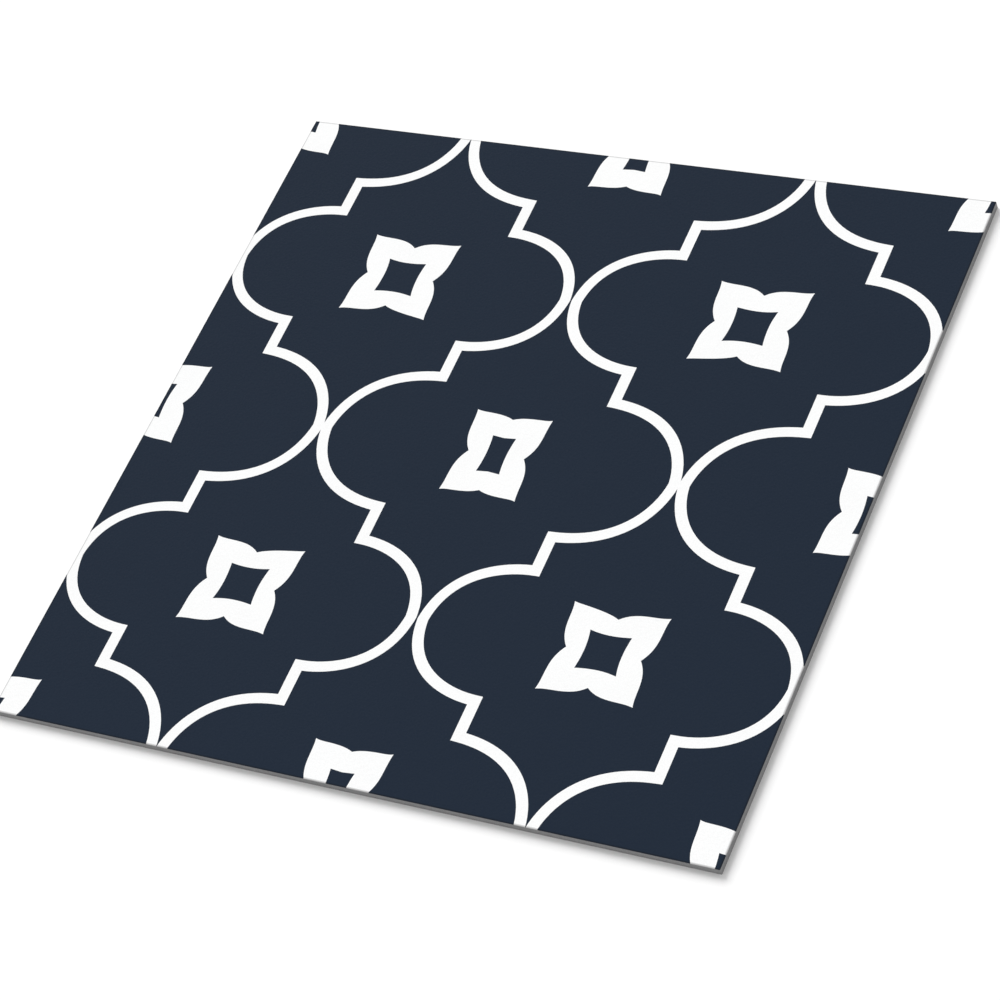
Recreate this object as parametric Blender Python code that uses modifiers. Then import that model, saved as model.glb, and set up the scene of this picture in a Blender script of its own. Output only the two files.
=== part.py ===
"""Vinyl floor tile: one flat square of printed vinyl, die cut, with eased edges.

The tile lies flat on the floor, wear face up, back down.
X runs along one side and Y along the other. The back lies on Z = 0, centred on the origin.
"""

import bmesh
import bpy

# Plan
TILE_SIDE = 0.3048  # a 12 inch square
CORNER_RADIUS = 0.0003  # the four upright corners, rounded by the die

# Section
TILE_THICKNESS = 0.0032  # an eighth of an inch
FACE_EASING = 0.0003  # rounding of the wear face's rim
BACK_EASING = 0.0001  # the back's rim is left crisper

# Smoothness
ROUNDING_SEGMENTS = 4

# Colour of the vinyl
VINYL_COLOUR = (0.021, 0.031, 0.048, 1.0)
VINYL_ROUGHNESS = 0.5


def clear_scene():
    for old in list(bpy.data.objects):
        bpy.data.objects.remove(old, do_unlink=True)


def new_collection(name):
    collection = bpy.data.collections.new(name)
    bpy.context.scene.collection.children.link(collection)
    return collection


def vinyl_material(name):
    material = bpy.data.materials.new(name)
    material.use_nodes = True
    shader = material.node_tree.nodes["Principled BSDF"]
    shader.inputs["Base Color"].default_value = VINYL_COLOUR
    shader.inputs["Roughness"].default_value = VINYL_ROUGHNESS
    return material


def square_slab(name):
    """A slab of the tile's own size, its back on Z = 0 and centred on the origin."""
    slab = bmesh.new()
    bmesh.ops.create_cube(slab, size=1.0)
    bmesh.ops.translate(slab, vec=(0.0, 0.0, 0.5), verts=slab.verts)
    bmesh.ops.scale(slab, vec=(TILE_SIDE, TILE_SIDE, TILE_THICKNESS), verts=slab.verts)
    mesh = bpy.data.meshes.new(name)
    slab.to_mesh(mesh)
    slab.free()
    return bpy.data.objects.new(name, mesh)


def weigh_edges(slab):
    """Edge weights give each rim its own share of the widest rounding."""
    widest = max(CORNER_RADIUS, FACE_EASING, BACK_EASING)
    mesh = slab.data
    weights = mesh.attributes.new("bevel_weight_edge", "FLOAT", "EDGE")
    for edge in mesh.edges:
        heights = [mesh.vertices[i].co.z for i in edge.vertices]
        upright = max(heights) - min(heights) > TILE_THICKNESS / 2
        on_face = min(heights) > TILE_THICKNESS / 2
        rounding = CORNER_RADIUS if upright else FACE_EASING if on_face else BACK_EASING
        weights.data[edge.index].value = rounding / widest
    return widest


def round_rims(slab):
    bevel = slab.modifiers.new("rims", "BEVEL")
    bevel.width = weigh_edges(slab)
    bevel.segments = ROUNDING_SEGMENTS
    bevel.limit_method = "WEIGHT"
    bevel.use_clamp_overlap = True


def build():
    clear_scene()
    collection = new_collection("vinyl_floor_tile")
    tile = square_slab("vinyl_tile")
    collection.objects.link(tile)
    tile.data.materials.append(vinyl_material("printed_vinyl"))
    round_rims(tile)


build()
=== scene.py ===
"""Vinyl floor tile: its printed face, cut edges and back, on a white floor in soft light.

The file has the layout of a Blender add-on and is run as a script. Lengths are in metres.
The tile lies flat with its printed face up. Its print is a trellis of lobed cells, white on navy:
narrow cells and wide cells in turn, each with a four-petal star round a small navy eye.

One quarter of a narrow cell and one quarter of a wide cell fill a square, the print's unit. Its lower
left corner is a narrow cell's centre and its upper right corner is a wide cell's centre. The whole
print is that unit, mirrored again and again.
"""

from math import radians

import bmesh
import bpy
import numpy as np
from bpy.props import FloatProperty, FloatVectorProperty, IntProperty, PointerProperty
from mathutils import Matrix, Vector


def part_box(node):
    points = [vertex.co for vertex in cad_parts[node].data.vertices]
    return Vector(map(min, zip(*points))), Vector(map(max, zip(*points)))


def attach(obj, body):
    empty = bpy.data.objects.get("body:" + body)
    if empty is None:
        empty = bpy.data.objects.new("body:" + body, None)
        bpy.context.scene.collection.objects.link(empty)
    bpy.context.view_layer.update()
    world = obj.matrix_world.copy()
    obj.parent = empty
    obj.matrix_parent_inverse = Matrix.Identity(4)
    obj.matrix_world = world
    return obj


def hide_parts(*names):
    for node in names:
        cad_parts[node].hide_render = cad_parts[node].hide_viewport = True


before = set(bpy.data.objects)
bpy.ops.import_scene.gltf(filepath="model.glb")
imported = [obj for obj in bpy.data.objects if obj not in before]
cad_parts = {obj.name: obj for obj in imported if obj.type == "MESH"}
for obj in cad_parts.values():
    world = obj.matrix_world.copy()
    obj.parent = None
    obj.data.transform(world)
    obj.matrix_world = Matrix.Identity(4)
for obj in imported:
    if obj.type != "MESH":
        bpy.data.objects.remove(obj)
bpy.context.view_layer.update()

bl_info = {
    "name": "Printed Vinyl Floor Tile",
    "version": (1, 0, 0),
    "blender": (4, 5, 0),
    "location": "3D View > Sidebar > Floor Tile",
    "description": "Prints a trellis on a vinyl floor tile and lights it in a small white studio",
    "category": "Object",
}

NODE = "vinyl_tile"

MM = 0.001
LOW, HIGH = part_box(NODE)

# The print is a square of units, this many each way
UNITS = 4

# Steps along an outline: each lobe's arc, and the upright riser between the two arcs
ARC_STEPS = 22
RISER_STEPS = 4

# Points worked out along a curve before it is divided into steps
CUBIC_POINTS = 200
QUADRATIC_POINTS = 100
LINE_POINTS = 400

# Handles of the white line's arcs: how far each leans at the lobe's tip and falls at its shoulder, and
# how far the handle reaches there
NARROW_LEAN, NARROW_TIP_PULL = radians(5.5), 12.0 * MM
NARROW_SLOPE, NARROW_SHOULDER_PULL = radians(3.28), 28.6 * MM
WIDE_LEAN, WIDE_TIP_PULL = radians(4.7), 23.4 * MM
WIDE_SLOPE, WIDE_SHOULDER_PULL = radians(1.21), 12.0 * MM

# How far an arc is drawn on past both its ends before it is cut, in widths of the line
SPARE_WIDTHS = 2

# Petal edges of the stars, from a notch to the petal's tip, as shares of the star's half width and
# half height
NARROW_SIDE = ((0.734, 0.0), (1.049, 0.346), (0.919, 0.634), (1.0, 1.0))
NARROW_TOP = ((0.0, 0.873), (0.353, 1.012), (0.847, 0.936), (1.0, 1.0))
WIDE_SIDE = ((0.770, 0.0), (1.045, 0.354), (0.917, 0.701), (1.0, 1.0))
WIDE_TOP = ((0.0, 0.773), (0.308, 1.032), (0.719, 0.915), (1.0, 1.0))
WIDE_TOP_INNER = ((0.0, 0.773), (0.260, 0.915), (0.875, 0.959), (1.0, 1.0))

# Faces of the tile, in the order of its material slots
NAVY, WHITE, CUT, BACK = range(4)

# The unit's bands from the narrow cell's centre to the wide cell's centre: colour, and rows of faces
BANDS = (
    (NAVY, 1),  # narrow eye
    (WHITE, 2),  # narrow star
    (NAVY, 5),  # narrow cell's ground
    (NAVY, 1),  # the same, close along the line
    (WHITE, 1),  # the line's nearer half
    (WHITE, 1),  # the line's further half
    (NAVY, 5),  # wide cell's ground
    (WHITE, 2),  # wide star
    (NAVY, 1),  # wide eye
)

# The navy band close along the line: its width as a share of the line's
CLOSE_GROUND = 0.2

# The share of the line's middle that eases in to the unit's lower right corner
TIP_SHARE = 0.1

# Where each kind of face lies on the tile's map: left, bottom, width, height. The four sides lie above
# each other, a step apart.
NAVY_PATCH = (0.005, 0.005, 0.69, 0.69)
WHITE_PATCH = (0.705, 0.005, 0.29, 0.29)
SIDE_PATCH = (0.005, 0.725, 0.99, 0.055)
BACK_PATCH = (0.705, 0.305, 0.29, 0.29)
SIDE_PATCH_STEP = 0.07

# The narrow extra row of faces along each side of a border between the inks, and how far past the border
# that row runs on the ink's own patch of the map, so that no pixel of a baked picture mixes the inks
BORDER_ROW = 0.05 * MM
BORDER_ROW_LIMIT = 0.4  # its largest share of the row it is taken from
SPILL = {NAVY: 0.7 * MM, WHITE: 1.6 * MM}

# Rows of faces from the back's rim in to its middle
BACK_ROWS = 6

# Points closer than this are one point, and a point this near to the face's corner is the corner
SAME_POINT = 0.0005 * MM
AT_CORNER = 0.001 * MM

# Noise values lie mostly in this range
NOISE_LOW, NOISE_HIGH = 0.35, 0.65

# The share of the face's rounding that the inks cover
INK_REACH = 0.75

# Painted shade along the face's rim: over this width the inks darken to this share
RIM_SHADE_WIDTH = 0.5 * MM
RIM_SHADE_TONE = 0.6

# Height angles between which the studio's white walls fade into the sky
WALL_TOP = (radians(9.0), radians(20.0))

# The studio's fixtures
FLOOR_LINES = 9
KEY_DISTANCE = 2.0
SENSOR_WIDTH = 36.0
CLIP_START = 0.01


class TileBody(bpy.types.PropertyGroup):
    """Sizes of the slab."""

    side: FloatProperty(
        name="Side", description="Length of each side of the square tile",
        default=HIGH.x - LOW.x, min=0.05, unit="LENGTH")
    thickness: FloatProperty(
        name="Thickness", description="Height of the printed face above the floor",
        default=HIGH.z - LOW.z, min=0.001, unit="LENGTH")
    face_easing: FloatProperty(
        name="Face easing", description="Rounding of the printed face's rim and of the upright corners",
        default=0.3 * MM, min=0.0001, precision=4, unit="LENGTH")
    back_easing: FloatProperty(
        name="Back easing", description="Rounding of the back's rim",
        default=0.1 * MM, min=0.00002, precision=4, unit="LENGTH")
    easing_steps: IntProperty(
        name="Easing steps", description="Facets across each rounding", default=4, min=2, max=16)


class TilePrint(bpy.types.PropertyGroup):
    """Sizes of the printed trellis."""

    repeat: FloatProperty(
        name="Repeat", description="Distance from one narrow cell's centre to the next",
        default=154.75 * MM, unit="LENGTH")
    line_width: FloatProperty(
        name="Line width", description="Width of the white line round the lobes",
        default=4.48 * MM, precision=4, unit="LENGTH")
    riser_width: FloatProperty(
        name="Riser width", description="Width of the upright step between two lobes",
        default=4.68 * MM, precision=4, unit="LENGTH")
    riser_place: FloatProperty(
        name="Riser place", description="From the narrow cell's centre to the middle of the riser",
        default=37.41 * MM, precision=4, unit="LENGTH")
    narrow_reach: FloatProperty(
        name="Narrow lobe reach", description="From the narrow cell's centre to its side lobe's tip",
        default=75.33 * MM, precision=4, unit="LENGTH")
    narrow_shoulder: FloatProperty(
        name="Narrow lobe shoulder", description="Height at which the side lobe meets the riser",
        default=32.12 * MM, precision=4, unit="LENGTH")
    wide_shoulder: FloatProperty(
        name="Wide lobe shoulder", description="The same height in the wide cell",
        default=29.41 * MM, precision=4, unit="LENGTH")
    hairline: FloatProperty(
        name="Hairline", description="Navy gap left between the tips of two wide cells",
        default=0.66 * MM, precision=5, unit="LENGTH")
    narrow_star: FloatVectorProperty(
        name="Narrow star", description="Width and height of the star in a narrow cell",
        default=(32.60 * MM, 39.17 * MM), size=2, precision=4, unit="LENGTH")
    narrow_eye: FloatVectorProperty(
        name="Narrow eye", description="Width and height of its eye across the middle",
        default=(8.54 * MM, 16.34 * MM), size=2, precision=4, unit="LENGTH")
    narrow_eye_corner: FloatVectorProperty(
        name="Narrow eye corner", description="From the eye's centre to its corner",
        default=(5.02 * MM, 8.66 * MM), size=2, precision=4, unit="LENGTH")
    wide_star: FloatProperty(
        name="Wide star", description="Width and height of the star in a wide cell",
        default=39.18 * MM, precision=4, unit="LENGTH")
    wide_eye: FloatProperty(
        name="Wide eye", description="Width and height of its eye across the middle",
        default=15.22 * MM, precision=4, unit="LENGTH")
    wide_eye_corner: FloatProperty(
        name="Wide eye corner", description="From the eye's centre to its corner, along each side",
        default=8.50 * MM, precision=4, unit="LENGTH")
    wide_eye_shift: FloatVectorProperty(
        name="Wide eye shift", description="How far the eye sits towards the middle of the tile",
        default=(0.20 * MM, 0.30 * MM), size=2, precision=5, unit="LENGTH")
    wide_eye_skew: FloatProperty(
        name="Wide eye skew", description="How much longer the eye is on the diagonal to the tile's middle",
        default=0.17 * MM, precision=5, unit="LENGTH")


class TileColours(bpy.types.PropertyGroup):
    """Colours of the inks, of the cut vinyl and of the back."""

    navy: FloatVectorProperty(
        name="Navy ink", description="Ground of the print",
        default=(0.0080, 0.0162, 0.0318), size=3, min=0.0, max=1.0, subtype="COLOR")
    white: FloatVectorProperty(
        name="White ink", description="Lines and stars of the print",
        default=(0.870, 0.873, 0.873), size=3, min=0.0, max=1.0, subtype="COLOR")
    cut: FloatVectorProperty(
        name="Cut edge", description="Filled vinyl where the tile was cut",
        default=(0.221, 0.221, 0.224), size=3, min=0.0, max=1.0, subtype="COLOR")
    back: FloatVectorProperty(
        name="Back", description="Underside of the tile",
        default=(0.30, 0.30, 0.30), size=3, min=0.0, max=1.0, subtype="COLOR")


class Studio(bpy.types.PropertyGroup):
    """Floor, lights and camera. Azimuth 0 looks along +Y, and a height angle is above the floor."""

    floor_side: FloatProperty(
        name="Floor", description="Side of the square floor", default=60.0, unit="LENGTH")
    floor_gap: FloatProperty(
        name="Floor gap", description="How far the floor lies under the tile",
        default=0.02 * MM, precision=5, unit="LENGTH")
    floor_colour: FloatVectorProperty(
        name="Floor colour", description="Colour of the floor",
        default=(0.95, 0.95, 0.95), size=3, min=0.0, max=1.0, subtype="COLOR")
    sky_strength: FloatProperty(
        name="Sky", description="Strength of the even light from overhead", default=0.56, min=0.0)
    wall_strength: FloatProperty(
        name="Walls", description="Strength of the light along the horizon", default=1.05, min=0.0)
    key_strength: FloatProperty(
        name="Key", description="Strength of the broad soft light from behind the tile",
        default=3.0, min=0.0)
    key_azimuth: FloatProperty(
        name="Key azimuth", description="Direction that the key light comes from",
        default=radians(228.0), subtype="ANGLE", unit="ROTATION")
    key_height: FloatProperty(
        name="Key height", description="Height angle of the key light",
        default=radians(35.0), subtype="ANGLE", unit="ROTATION")
    key_spread: FloatProperty(
        name="Key spread", description="Width of the key light as an angle",
        default=radians(40.0), subtype="ANGLE", unit="ROTATION")
    camera_aim: FloatVectorProperty(
        name="Camera aim", description="Point on the printed face that the camera looks at",
        default=(10.28 * MM, -19.93 * MM, HIGH.z), size=3, precision=4, unit="LENGTH")
    camera_azimuth: FloatProperty(
        name="Camera azimuth", description="Direction that the camera stands in",
        default=radians(42.897), subtype="ANGLE", unit="ROTATION")
    camera_height: FloatProperty(
        name="Camera height", description="Height angle of the camera",
        default=radians(48.953), subtype="ANGLE", unit="ROTATION")
    camera_roll: FloatProperty(
        name="Camera roll", description="Turn of the camera about its line of sight",
        default=radians(-25.275), subtype="ANGLE", unit="ROTATION")
    camera_distance: FloatProperty(
        name="Camera distance", description="From the aim to the camera", default=1.2867, unit="LENGTH")
    lens: FloatProperty(
        name="Lens", description="Focal length in millimetres, on a 36 mm sensor", default=122.4)


def bezier(points, count=CUBIC_POINTS):
    """A cubic arc at even u from 0 to 1: (1-u)^3 A + 3(1-u)^2 u B + 3(1-u) u^2 C + u^3 D."""
    a, b, c, d = np.asarray(points, float)
    u = np.linspace(0.0, 1.0, count)[:, None]
    return (1 - u) ** 3 * a + 3 * (1 - u) ** 2 * u * b + 3 * (1 - u) * u ** 2 * c + u ** 3 * d


def bowed(start, handle, end, count=QUADRATIC_POINTS):
    """A quadratic arc at even u from 0 to 1: (1-u)^2 A + 2(1-u) u B + u^2 C."""
    a, b, c = np.asarray((start, handle, end), float)
    u = np.linspace(0.0, 1.0, count)[:, None]
    return (1 - u) ** 2 * a + 2 * (1 - u) * u * b + u ** 2 * c


def divided(line, steps):
    """The same line in equal steps: points at even shares of its arc length, by linear interpolation."""
    along = np.concatenate(([0.0], np.cumsum(np.hypot(*np.diff(line, axis=0).T))))
    wanted = np.linspace(0.0, along[-1], steps + 1)
    return np.column_stack([np.interp(wanted, along, line[:, axis]) for axis in (0, 1)])


def joined(*lines):
    """Lines that meet end to end as one line, with each meeting point kept once."""
    return np.vstack([line[:-1] for line in lines[:-1]] + [lines[-1]])


def beside(line, distance):
    """A line set off to the left of another: each point moves along its normal, the turned tangent."""
    tangent = np.gradient(line, axis=0)
    tangent /= np.hypot(*tangent.T)[:, None]
    return line + distance * tangent[:, ::-1] * (-1.0, 1.0)


def crossing(line, axis, limit):
    """Where a line first passes x or y = limit: the point's place in the list, and the point itself."""
    past = line[:, axis] - limit
    first = np.flatnonzero(past[:-1] * past[1:] <= 0)[0]
    share = past[first] / (past[first] - past[first + 1])
    return first, line[first] + share * (line[first + 1] - line[first])


def clipped(line, start, end):
    """The part of a line between two crossings, each given as axis and limit."""
    first, head = crossing(line, *start)
    last, tail = crossing(line, *end)
    return np.vstack((head, line[first + 1:last + 1], tail))


def lobe(reach, lean, tip_pull, riser, shoulder, slope, shoulder_pull, spare):
    """Middle of the white line round a quarter lobe, from its tip on the X axis to its shoulder.

    A cubic arc whose handles follow the lean at the tip and the slope at the shoulder, drawn out
    straight by `spare` at both ends, as many even points.
    """
    tip = np.array((reach, 0.0))
    end = np.array((riser, shoulder))
    rise = np.array((-np.sin(lean), np.cos(lean)))
    fall = np.array((np.cos(slope), -np.sin(slope)))
    arc = bezier((tip, tip + tip_pull * rise, end + shoulder_pull * fall, end))
    return divided(np.vstack((tip - spare * rise, arc, end - spare * fall)), LINE_POINTS)


def line_edges(sizes):
    """The nearer and the further edge of the white line, across the unit from right to left.

    The middle of the line is set off by half its width both ways. The side lobe of the narrow cell and the
    lobe of the wide cell are cut at the riser's edge, where an upright stretch joins them.
    """
    unit = sizes.repeat / 2
    half = sizes.line_width / 2
    spare = SPARE_WIDTHS * sizes.line_width
    wide_reach = unit - sizes.hairline / 2 - half
    narrow = lobe(
        sizes.narrow_reach, NARROW_LEAN, NARROW_TIP_PULL,
        sizes.riser_place, sizes.narrow_shoulder, NARROW_SLOPE, NARROW_SHOULDER_PULL, spare)
    wide = lobe(
        wide_reach, WIDE_LEAN, WIDE_TIP_PULL,
        unit - sizes.riser_place, sizes.wide_shoulder, WIDE_SLOPE, WIDE_SHOULDER_PULL, spare)
    edges = []
    for side, start in ((1, (1, 0.0)), (-1, (0, unit))):
        riser = (0, sizes.riser_place - side * sizes.riser_width / 2)
        lower = clipped(beside(narrow, side * half), start, riser)
        upper = clipped(unit - beside(wide, -side * half), (1, unit), riser)[::-1]
        edges.append(joined(
            divided(lower, ARC_STEPS),
            divided(np.vstack((lower[-1], upper[0])), RISER_STEPS),
            divided(upper, ARC_STEPS)))
    return edges


def quarter_outline(side, top):
    """A quarter outline round the origin: up its side to the corner, then along its top to the Y axis.

    Each edge has half as many steps as the white line has across the unit.
    """
    steps = ARC_STEPS + RISER_STEPS // 2
    return joined(divided(side, steps), divided(top[::-1], steps))


def star(side, top, half_size):
    """A quarter of a four-petal star: two cubic edges from the notches, meeting at the petal's tip."""
    return quarter_outline(bezier(side) * half_size, bezier(top) * half_size)


def eye(middle, corner, peak):
    """A quarter of an eye with hollow edges: two quadratic ones from the mid sides, meeting at the corner.

    The hollow along the top is round where `peak` is 0. Where it is 1, the top's two halves are straight
    and meet at an angle.
    """
    side = bowed((middle[0], 0.0), (middle[0], corner[1] / 2), corner)
    top = bowed((0.0, middle[1]), (corner[0] / 2, middle[1] + peak * (corner[1] - middle[1]) / 2), corner)
    return quarter_outline(side, top)


def unit_outlines(sizes, inward):
    """The unit's ten outlines, from the narrow cell's centre out to the wide cell's centre.

    `inward` says, for X and for Y, whether this unit lies towards the tile's middle from its wide cell.
    The wide eye is drawn a little that way, and the petal that points to the middle has a flatter top.
    """
    unit = sizes.repeat / 2
    near, far = line_edges(sizes)
    narrow_star = star(NARROW_SIDE, NARROW_TOP, np.array(sizes.narrow_star) / 2)
    narrow_eye = eye(np.array(sizes.narrow_eye) / 2, np.array(sizes.narrow_eye_corner), 1.0)
    wide_top = WIDE_TOP_INNER if all(inward) else WIDE_TOP
    wide_star = unit - star(WIDE_SIDE, wide_top, sizes.wide_star / 2)[::-1]
    shift = np.array(sizes.wide_eye_shift) * np.where(inward, 1.0, -1.0)
    skew = sizes.wide_eye_skew * (1.0 if inward[0] == inward[1] else -1.0)
    wide_eye = unit - eye(sizes.wide_eye / 2 + shift, sizes.wide_eye_corner + shift + skew, 0.0)[::-1]

    # The navy close along the line follows its nearer edge, and narrows towards the Y axis
    width = np.minimum(CLOSE_GROUND * sizes.line_width, near[:, :1] / 2)
    ground = near + (beside(near, 1.0) - near) * width
    ground[0, 1] = 0.0
    ground[-1] = (0.0, unit)

    # The line's middle starts in the unit's lower right corner, between the tips of its two edges
    middle = (near + far) / 2
    ease = np.clip(1.0 - np.linspace(0.0, 1.0, len(middle)) / TIP_SHARE, 0.0, 1.0)[:, None] ** 2
    middle += ease * ((unit, 0.0) - middle[0])

    narrow_centre = np.zeros_like(near)
    wide_centre = np.full_like(near, unit)
    return np.stack((
        narrow_centre, narrow_eye, narrow_star, ground, near,
        middle, far, wide_star, wide_eye, wide_centre))


def band_grids(outlines, number):
    """One band of the unit as a grid of rows and columns, twice: as it lies on the tile, and on the map.

    P(t, s) = (1 - t) A(s) + t B(s), between the band's outlines A and B. The rows have even t, with one
    more close to each border with the other ink. On the map the border's own row has t = 0 - spill or
    1 + spill, which carries it past its place.
    """
    kind, count = BANDS[number]
    inner, outer = outlines[number:number + 2]
    width = np.hypot(*(outer - inner).T)
    starts, ends = (
        0 <= beyond < len(BANDS) and BANDS[beyond][0] != kind for beyond in (number - 1, number + 1))
    close = np.minimum(BORDER_ROW / width, BORDER_ROW_LIMIT / count)
    spill = SPILL[kind] / width
    even = np.arange(1, count)[:, None] / count * np.ones_like(width)
    rows = np.vstack([close] * starts + [even] + [1 - close] * ends)
    lies = np.vstack((0 * width, rows, 0 * width + 1))
    drawn = np.vstack((-spill * starts, rows, 1 + spill * ends))
    return [(1 - t) * inner + t * outer for t in (lies[..., None], drawn[..., None])]


def grid_faces(rows, columns):
    """Corner numbers of the quads of a grid of points, row by row, each turned from row to column."""
    corner = np.arange(rows * columns).reshape(rows, columns)
    quads = np.stack((corner[:-1, :-1], corner[1:, :-1], corner[1:, 1:], corner[:-1, 1:]), axis=-1)
    return quads.reshape(-1, 4)


def mesh_of(name, points, quads, kinds):
    """A Blender mesh from arrays of points, quads and material numbers."""
    mesh = bpy.data.meshes.new(name)
    mesh.from_pydata(points.tolist(), [], quads.tolist())
    mesh.polygons.foreach_set("material_index", kinds.astype(np.int32))
    mesh.update()
    return mesh


def lay_out(mesh, kinds, places):
    """Gives a mesh its map: each corner's place in a unit square, fitted into the patch of its kind."""
    patches = np.array((NAVY_PATCH, WHITE_PATCH, SIDE_PATCH, BACK_PATCH))[kinds]
    layer = mesh.uv_layers.new(name="OFBake")
    layer.data.foreach_set("uv", (patches[:, :2] + places * patches[:, 2:]).astype(np.float32).ravel())


def trellis_mesh(sizes, body):
    """The whole print at the tile's height: its units, mirrored where their number on an axis is odd.

    X(k) = k u + x where k is even and (k + 1) u - x where it is odd, with u the unit's side.
    """
    unit = sizes.repeat / 2
    points, places, quads, kinds = [], [], [], []
    for square in np.ndindex(UNITS, UNITS):
        number = np.array(square) - UNITS // 2
        odd = number % 2
        inward = (number == -1) | (number == 0)
        outlines = unit_outlines(sizes, inward)
        for band, (kind, _) in enumerate(BANDS):
            grids = np.stack(band_grids(outlines, band))
            lies, drawn = np.where(odd, (number + 1) * unit - grids, number * unit + grids)
            faces = grid_faces(*lies.shape[:2])
            faces = faces[:, ::-1] if odd.sum() == 1 else faces
            quads.append(faces + sum(map(len, points)))
            points.append(np.insert(lies.reshape(-1, 2), 2, body.thickness, axis=1))
            places.append(drawn.reshape(-1, 2)[faces.ravel()] / body.side + 0.5)
            kinds.append(np.full(len(faces), kind))
    kinds = np.concatenate(kinds)
    mesh = mesh_of("print", np.vstack(points), np.vstack(quads), kinds)
    lay_out(mesh, np.repeat(kinds, 4), np.vstack(places))
    return mesh


def weld(work):
    """Merges points that coincide, which closes the seams between units and the poles of the grids."""
    bmesh.ops.remove_doubles(work, verts=work.verts, dist=SAME_POINT)


def printed_face(sizes, body, half):
    """The print, cut off at the flat face's four sides."""
    work = bmesh.new()
    whole = trellis_mesh(sizes, body)
    work.from_mesh(whole)
    bpy.data.meshes.remove(whole)
    weld(work)
    for normal in ((1, 0, 0), (-1, 0, 0), (0, 1, 0), (0, -1, 0)):
        bmesh.ops.bisect_plane(
            work, geom=work.verts[:] + work.edges[:] + work.faces[:], dist=SAME_POINT,
            plane_co=Vector(normal) * half, plane_no=normal, clear_outer=True)
    face = bpy.data.meshes.new("printed_face")
    work.to_mesh(face)
    work.free()
    return face


def read(items, name, width, kind):
    """One attribute of a mesh's points, loops or faces as an array."""
    values = np.empty(len(items) * width, kind)
    items.foreach_get(name, values)
    return values.reshape(-1, width) if width > 1 else values


def face_border(face):
    """The face's border, counterclockwise from one point to the next, and the ink along each stretch of it.

    A border edge is used by one face only. Its points are put in order by their angle round the centre.
    """
    edges = read(face.loops, "edge_index", 1, np.int32)
    owners = np.repeat(np.arange(len(face.polygons)), read(face.polygons, "loop_total", 1, np.int32))
    lone = np.flatnonzero(np.bincount(edges)[edges] == 1)
    plan = read(face.vertices, "co", 3, np.float32)[read(face.loops, "vertex_index", 1, np.int32)[lone], :2]
    inks = read(face.polygons, "material_index", 1, np.int32)[owners[lone]]
    order = np.argsort(np.arctan2(plan[:, 1], plan[:, 0]))
    return plan[order].astype(float), inks[order]


def rim_profile(body):
    """The section from the printed face's rim to the back: distance outwards, and height.

    A quarter round of the face easing, the upright side, and a quarter round of the back easing.
    """
    turn = np.linspace(0.0, np.pi / 2, body.easing_steps + 1)
    top, low = body.face_easing, body.back_easing
    out = np.concatenate((top * np.sin(turn), top - low + low * np.cos(turn)))
    height = np.concatenate((body.thickness - top + top * np.cos(turn), low - low * np.sin(turn)))
    return np.column_stack((out, height))


def outward_part(plan, half):
    """How far points lie outside the flat face, as plan vectors."""
    return plan - np.clip(plan, -half, half)


def lay_out_rim_and_back(mesh, body, half):
    """Map of the rim, sides and back: the back from above, and a strip for each side, along it and up.

    The inks on the rim reach further out there: x + out * spill / easing.
    """
    corner = read(mesh.vertices, "co", 3, np.float32)[read(mesh.loops, "vertex_index", 1, np.int32)]
    kind = np.repeat(read(mesh.polygons, "material_index", 1, np.int32), 4)
    out = outward_part(np.repeat(read(mesh.polygons, "center", 3, np.float32)[:, :2], 4, axis=0), half)
    quarter = np.round(np.arctan2(out[:, 1], out[:, 0]) / (np.pi / 2)).astype(int) % 4
    along = np.where(quarter % 2 == 0, corner[:, 1], corner[:, 0])
    strip = np.column_stack((
        along / body.side + 0.5,
        corner[:, 2] / body.thickness + quarter * SIDE_PATCH_STEP / SIDE_PATCH[3]))
    spill = np.array((SPILL[NAVY], SPILL[WHITE], 0.0, 0.0))[kind, None] / body.face_easing
    plan = (corner[:, :2] + outward_part(corner[:, :2], half) * spill) / body.side + 0.5
    lay_out(mesh, kind, np.where((kind == CUT)[:, None], strip, plan))


def rim_and_back_mesh(face, body, half):
    """The tile's rim, sides and back as one grid of points.

    Rows follow the rim's profile, carried round the face's border along its outward normal, which turns
    through a right angle at each corner. The last rows draw the back's border in to its middle. The inks
    go part of the way down the face's rounding.
    """
    plan, inks = face_border(face)
    at_corner = np.all(np.abs(plan) > half - AT_CORNER, axis=1)
    copies = np.where(at_corner, body.easing_steps + 1, 1)
    first = np.repeat(np.cumsum(copies) - copies, copies)
    share = (np.arange(copies.sum()) - first) / body.easing_steps
    plan, inks, at_corner = (np.repeat(values, copies, axis=0) for values in (plan, inks, at_corner))

    bearing = np.arctan2(plan[:, 1], plan[:, 0])
    square = np.round(bearing / (np.pi / 2)) * (np.pi / 2)
    bearing = np.where(at_corner, bearing - np.pi / 4 + share * np.pi / 2, square)
    outward = np.column_stack((np.cos(bearing), np.sin(bearing)))

    profile = rim_profile(body)
    rim = plan[None] + profile[:, None, :1] * outward[None]
    heights = np.broadcast_to(profile[:, None, 1:], rim.shape[:2] + (1,))
    rim = np.concatenate((rim, heights), axis=2)
    back_shares = np.linspace(1.0, 0.0, BACK_ROWS + 1)[1:, None, None]
    grid = np.concatenate((rim, rim[-1:] * back_shares), axis=0)
    grid = np.concatenate((grid, grid[:, :1]), axis=1)

    rows = np.arange(len(grid) - 1)[:, None]
    kinds = np.where(rows < INK_REACH * body.easing_steps, inks[None], CUT)
    kinds = np.where(rows >= len(profile) - 1, BACK, kinds)
    mesh = mesh_of("rim_and_back", grid.reshape(-1, 3), grid_faces(*grid.shape[:2]), kinds.ravel())
    lay_out_rim_and_back(mesh, body, half)
    return mesh


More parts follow.
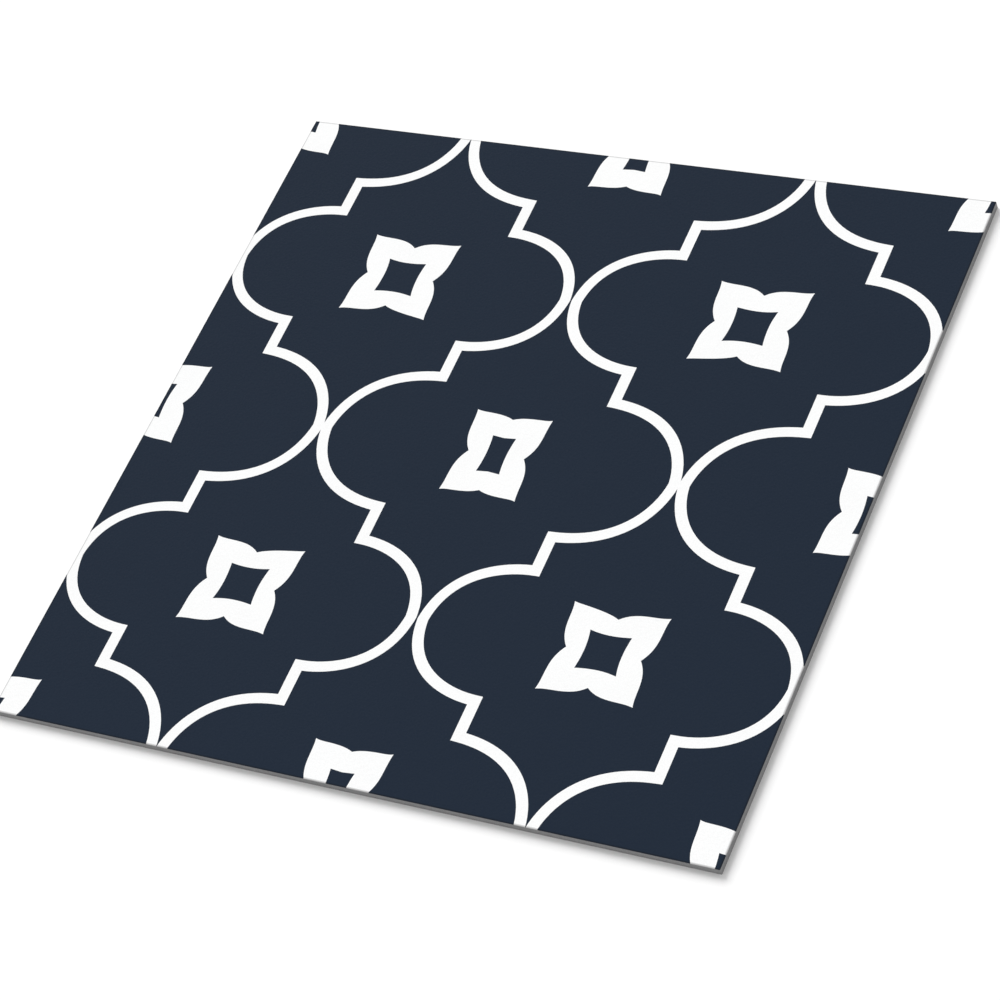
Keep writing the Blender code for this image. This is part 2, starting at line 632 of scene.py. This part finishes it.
def tile_normals(points, body, half):
    """True normals: straight up on the face, and turned outwards by how far a point is down a rounding."""
    out = outward_part(points[:, :2], half)
    out /= np.maximum(np.hypot(*out.T), SAME_POINT)[:, None]
    upward = np.clip((points[:, 2] - body.thickness + body.face_easing) / body.face_easing, 0.0, 1.0)
    upward += np.clip((points[:, 2] - body.back_easing) / body.back_easing, -1.0, 0.0)
    level = np.sqrt(np.clip(1.0 - upward ** 2, 0.0, 1.0))
    return np.column_stack((out * level[:, None], upward))


def tile_mesh(body, sizes):
    """The closed surface of the tile: printed face, rim, sides and back."""
    half = body.side / 2 - body.face_easing
    face = printed_face(sizes, body, half)
    rest = rim_and_back_mesh(face, body, half)
    work = bmesh.new()
    work.from_mesh(face)
    work.from_mesh(rest)
    weld(work)
    mesh = bpy.data.meshes.new("printed_tile")
    work.to_mesh(mesh)
    work.free()
    bpy.data.meshes.remove(face)
    bpy.data.meshes.remove(rest)
    mesh.shade_smooth()
    points = read(mesh.vertices, "co", 3, np.float32)
    mesh.normals_split_custom_set_from_vertices(tile_normals(points, body, half))
    return mesh


class Finish:
    """A material's nodes, with short calls for the few kinds that the tile's finishes use."""

    def __init__(self, name):
        self.material = bpy.data.materials.new(name)
        self.material.use_nodes = True
        self.nodes = self.material.node_tree.nodes
        self.links = self.material.node_tree.links
        self.shader = self.nodes["Principled BSDF"]
        self.place = self.nodes.new("ShaderNodeTexCoord").outputs["Object"]

    def stretched(self, scale):
        """The place on the tile, stretched along each axis."""
        node = self.nodes.new("ShaderNodeMapping")
        node.inputs["Scale"].default_value = scale
        self.links.new(self.place, node.inputs["Vector"])
        return node.outputs["Vector"]

    def noise(self, grain, detail=2.0, place=None):
        """Cloudy noise whose blotches are about `grain` across."""
        node = self.nodes.new("ShaderNodeTexNoise")
        node.inputs["Scale"].default_value = 1.0 / grain
        node.inputs["Detail"].default_value = detail
        self.links.new(place or self.place, node.inputs["Vector"])
        return node.outputs["Fac"]

    def pebbles(self, grain):
        """Rounded cells about `grain` across, as on an embossing roller."""
        node = self.nodes.new("ShaderNodeTexVoronoi")
        node.feature = "SMOOTH_F1"
        node.inputs["Scale"].default_value = 1.0 / grain
        node.inputs["Smoothness"].default_value = 0.6
        self.links.new(self.place, node.inputs["Vector"])
        return node.outputs["Distance"]

    def spread(self, value, low, high, start=NOISE_LOW, end=NOISE_HIGH):
        """A value mapped evenly to a range: `low` up to `start`, and `high` from `end` on."""
        node = self.nodes.new("ShaderNodeMapRange")
        node.inputs["From Min"].default_value = start
        node.inputs["From Max"].default_value = end
        node.inputs["To Min"].default_value = low
        node.inputs["To Max"].default_value = high
        self.links.new(value, node.inputs["Value"])
        return node.outputs["Result"]

    def towards_rim(self, reach, width, low):
        """1 over a square face, falling evenly to `low` over the last `width` before its sides.

        The value follows max(|x|, |y|), which is `reach` at the sides.
        """
        axes = self.nodes.new("ShaderNodeSeparateXYZ")
        self.links.new(self.place, axes.inputs["Vector"])
        further = self.nodes.new("ShaderNodeMath")
        further.operation = "MAXIMUM"
        for number, axis in enumerate("XY"):
            size = self.nodes.new("ShaderNodeMath")
            size.operation = "ABSOLUTE"
            self.links.new(axes.outputs[axis], size.inputs[0])
            self.links.new(size.outputs["Value"], further.inputs[number])
        return self.spread(further.outputs["Value"], 1.0, low, start=reach - width, end=reach)

    def tint(self, colour, value):
        """A colour made lighter or darker: scaled by a value."""
        node = self.nodes.new("ShaderNodeVectorMath")
        node.operation = "SCALE"
        if isinstance(colour, bpy.types.NodeSocket):
            self.links.new(colour, node.inputs[0])
        else:
            node.inputs[0].default_value = colour
        self.links.new(value, node.inputs["Scale"])
        return node.outputs["Vector"]

    def relief(self, value, height, under=None):
        """A bump of a height in metres, over another bump if one is given."""
        node = self.nodes.new("ShaderNodeBump")
        node.inputs["Distance"].default_value = height
        self.links.new(value, node.inputs["Height"])
        if under:
            self.links.new(under, node.inputs["Normal"])
        return node.outputs["Normal"]

    def done(self, colour, roughness, normal, specular):
        """Wires the shader up and returns the material."""
        self.links.new(colour, self.shader.inputs["Base Color"])
        self.links.new(roughness, self.shader.inputs["Roughness"])
        self.links.new(normal, self.shader.inputs["Normal"])
        self.shader.inputs["Specular IOR Level"].default_value = specular
        return self.material


def ink_finish(name, colour, reach):
    """Printed film under a clear wear layer: a faint unevenness, an ink grain and a pebbled emboss.

    Shade is painted along the face's rim, which is `reach` from the tile's centre: the inks darken there.
    """
    finish = Finish(name)
    unevenness = finish.spread(finish.noise(22 * MM, detail=3.0), low=0.993, high=1.007)
    grain = finish.spread(finish.noise(0.35 * MM), low=0.96, high=1.04)
    tone = finish.tint(finish.tint(colour, unevenness), grain)
    # Painted shade: the inks darken over the last stretch before the face's rim
    tone = finish.tint(tone, finish.towards_rim(reach, RIM_SHADE_WIDTH, low=RIM_SHADE_TONE))
    roughness = finish.spread(finish.noise(0.8 * MM, detail=3.0), low=0.46, high=0.60)
    fine = finish.relief(finish.noise(0.25 * MM), height=0.006 * MM)
    emboss = finish.relief(finish.pebbles(1.0 * MM), height=0.045 * MM, under=fine)
    return finish.done(tone, roughness, emboss, specular=0.2)


def cut_finish(name, colour):
    """Filled vinyl cut by a die: specks of filler, and fine upright streaks from the blade."""
    finish = Finish(name)
    specks = finish.spread(finish.noise(0.22 * MM, detail=3.0), low=0.84, high=1.16)
    upright = finish.stretched((1.0, 1.0, 0.08))
    streaks = finish.noise(0.35 * MM, detail=3.0, place=upright)
    tone = finish.tint(finish.tint(colour, specks), finish.spread(streaks, low=0.94, high=1.06))
    roughness = finish.spread(streaks, low=0.66, high=0.82)
    fine = finish.relief(finish.noise(0.2 * MM), height=0.006 * MM)
    cut = finish.relief(streaks, height=0.015 * MM, under=fine)
    return finish.done(tone, roughness, cut, specular=0.25)


def back_finish(name, colour):
    """The underside: dull grey vinyl with a coarser pebble from the backing roller."""
    finish = Finish(name)
    clouds = finish.spread(finish.noise(25 * MM, detail=4.0), low=0.98, high=1.02)
    specks = finish.spread(finish.noise(0.4 * MM, detail=3.0), low=0.90, high=1.10)
    tone = finish.tint(finish.tint(colour, clouds), specks)
    roughness = finish.spread(finish.noise(3 * MM), low=0.70, high=0.85)
    pebble = finish.relief(finish.pebbles(1.8 * MM), height=0.12 * MM)
    return finish.done(tone, roughness, pebble, specular=0.2)


def floor_finish(name, colour):
    """A smooth matt white surface with a faint unevenness."""
    finish = Finish(name)
    tone = finish.tint(colour, finish.spread(finish.noise(300 * MM), low=0.998, high=1.002))
    roughness = finish.spread(finish.noise(50 * MM), low=0.88, high=0.94)
    texture = finish.relief(finish.noise(2 * MM), height=0.001 * MM)
    return finish.done(tone, roughness, texture, specular=0.1)


def add_object(name, data):
    """A new object in the scene, at the origin."""
    item = bpy.data.objects.new(name, data)
    bpy.context.scene.collection.objects.link(item)
    return item


def direction(azimuth, height):
    """Unit vector from the tile towards something at an azimuth and a height angle."""
    level = np.cos(height)
    return Vector((np.sin(azimuth) * level, -np.cos(azimuth) * level, np.sin(height)))


class FLOORTILE_OT_printed_tile(bpy.types.Operator):
    """Builds the tile: a printed face with eased rims, cut sides and a plain back"""

    bl_idname = "floor_tile.printed_tile"
    bl_label = "Printed Tile"
    bl_options = {"REGISTER", "UNDO"}

    def execute(self, context):
        scene = context.scene
        colours = scene.tile_colours
        mesh = tile_mesh(scene.tile_body, scene.tile_print)
        if len(mesh.polygons) == 0:
            raise RuntimeError("the printed tile came out empty")
        reach = scene.tile_body.side / 2 - scene.tile_body.face_easing
        mesh.materials.append(ink_finish("navy_print", colours.navy, reach))
        mesh.materials.append(ink_finish("white_print", colours.white, reach))
        mesh.materials.append(cut_finish("cut_vinyl", colours.cut))
        mesh.materials.append(back_finish("vinyl_back", colours.back))
        tile = add_object("printed_tile", mesh)
        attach(tile, "root")
        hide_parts(NODE)
        return {"FINISHED"}


class FLOORTILE_OT_studio(bpy.types.Operator):
    """Lays the white floor, sets the soft lights and stands the camera"""

    bl_idname = "floor_tile.studio"
    bl_label = "Studio"
    bl_options = {"REGISTER", "UNDO"}

    def execute(self, context):
        studio = context.scene.tile_studio
        self.lay_floor(studio)
        self.light(context.scene, studio)
        self.stand_camera(context.scene, studio)
        context.scene.view_settings.view_transform = "Standard"
        return {"FINISHED"}

    def lay_floor(self, studio):
        """A square grid: x and y run evenly from one side to the other, at one height."""
        even = np.linspace(-studio.floor_side / 2, studio.floor_side / 2, FLOOR_LINES)
        y, x = np.meshgrid(even, even, indexing="ij")
        points = np.column_stack((x.ravel(), y.ravel(), np.full(x.size, -studio.floor_gap)))
        quads = grid_faces(len(even), len(even))[:, ::-1]
        mesh = mesh_of("floor", points, quads, np.zeros(len(quads)))
        mesh.materials.append(floor_finish("white_floor", studio.floor_colour))
        add_object("floor", mesh)

    def light(self, scene, studio):
        """A light tent: an even sky, white walls low down, and one broad soft key from behind the tile.

        The key throws no glare, as through a polarising filter, because it stands where the camera's
        line of sight would mirror to.
        """
        world = bpy.data.worlds.new("light_tent")
        world.use_nodes = True
        nodes, links = world.node_tree.nodes, world.node_tree.links
        nodes["Background"].inputs["Color"].default_value = (1.0, 1.0, 1.0, 1.0)
        ray = nodes.new("ShaderNodeTexCoord").outputs["Generated"]
        height = nodes.new("ShaderNodeSeparateXYZ")
        fade = nodes.new("ShaderNodeMapRange")
        fade.interpolation_type = "SMOOTHSTEP"
        fade.inputs["From Min"].default_value = np.sin(WALL_TOP[0])
        fade.inputs["From Max"].default_value = np.sin(WALL_TOP[1])
        fade.inputs["To Min"].default_value = studio.wall_strength
        fade.inputs["To Max"].default_value = studio.sky_strength
        links.new(ray, height.inputs["Vector"])
        links.new(height.outputs["Z"], fade.inputs["Value"])
        links.new(fade.outputs["Result"], nodes["Background"].inputs["Strength"])
        scene.world = world
        sun = bpy.data.lights.new("soft_key", "SUN")
        sun.energy = studio.key_strength
        sun.angle = studio.key_spread
        key = add_object("soft_key", sun)
        key.visible_glossy = False
        towards = direction(studio.key_azimuth, studio.key_height)
        turned = towards.to_track_quat("Z", "Y").to_matrix().to_4x4()
        key.matrix_world = Matrix.Translation(towards * KEY_DISTANCE) @ turned

    def stand_camera(self, scene, studio):
        """The camera looks from its azimuth and height at the aim, and is then rolled."""
        towards = direction(studio.camera_azimuth, studio.camera_height)
        right = Vector((0.0, 0.0, 1.0)).cross(towards).normalized()
        upright = Matrix((right, towards.cross(right), towards)).transposed()
        roll = Matrix.Rotation(studio.camera_roll, 3, "Z")
        data = bpy.data.cameras.new("photo_camera")
        data.sensor_width = SENSOR_WIDTH
        data.lens = studio.lens
        data.clip_start = CLIP_START
        camera = add_object("photo_camera", data)
        place = Matrix.Translation(Vector(studio.camera_aim) + towards * studio.camera_distance)
        camera.matrix_world = place @ (upright @ roll).to_4x4()
        scene.camera = camera


class FLOORTILE_PT_sidebar(bpy.types.Panel):
    """Lists the tile's sizes and colours, and the operators that use them"""

    bl_idname = "FLOORTILE_PT_sidebar"
    bl_label = "Floor Tile"
    bl_space_type = "VIEW_3D"
    bl_region_type = "UI"
    bl_category = "Floor Tile"

    def draw(self, context):
        for heading, name in SETTINGS.items():
            box = self.layout.box()
            box.label(text=heading)
            settings = getattr(context.scene, name)
            for key in settings.__annotations__:
                box.prop(settings, key)
        for operator in OPERATORS:
            self.layout.operator(operator.bl_idname)


SETTINGS = {
    "Slab": "tile_body",
    "Print": "tile_print",
    "Colours": "tile_colours",
    "Studio": "tile_studio",
}
GROUPS = (TileBody, TilePrint, TileColours, Studio)
OPERATORS = (FLOORTILE_OT_printed_tile, FLOORTILE_OT_studio)


def register():
    for item in (*GROUPS, *OPERATORS, FLOORTILE_PT_sidebar):
        bpy.utils.register_class(item)
    for name, group in zip(SETTINGS.values(), GROUPS):
        setattr(bpy.types.Scene, name, PointerProperty(type=group))


def unregister():
    for name in SETTINGS.values():
        delattr(bpy.types.Scene, name)
    for item in reversed((*GROUPS, *OPERATORS, FLOORTILE_PT_sidebar)):
        bpy.utils.unregister_class(item)


def main():
    """Builds the tile and the studio."""
    register()
    bpy.ops.floor_tile.printed_tile()
    bpy.ops.floor_tile.studio()


if __name__ == "__main__":
    main()
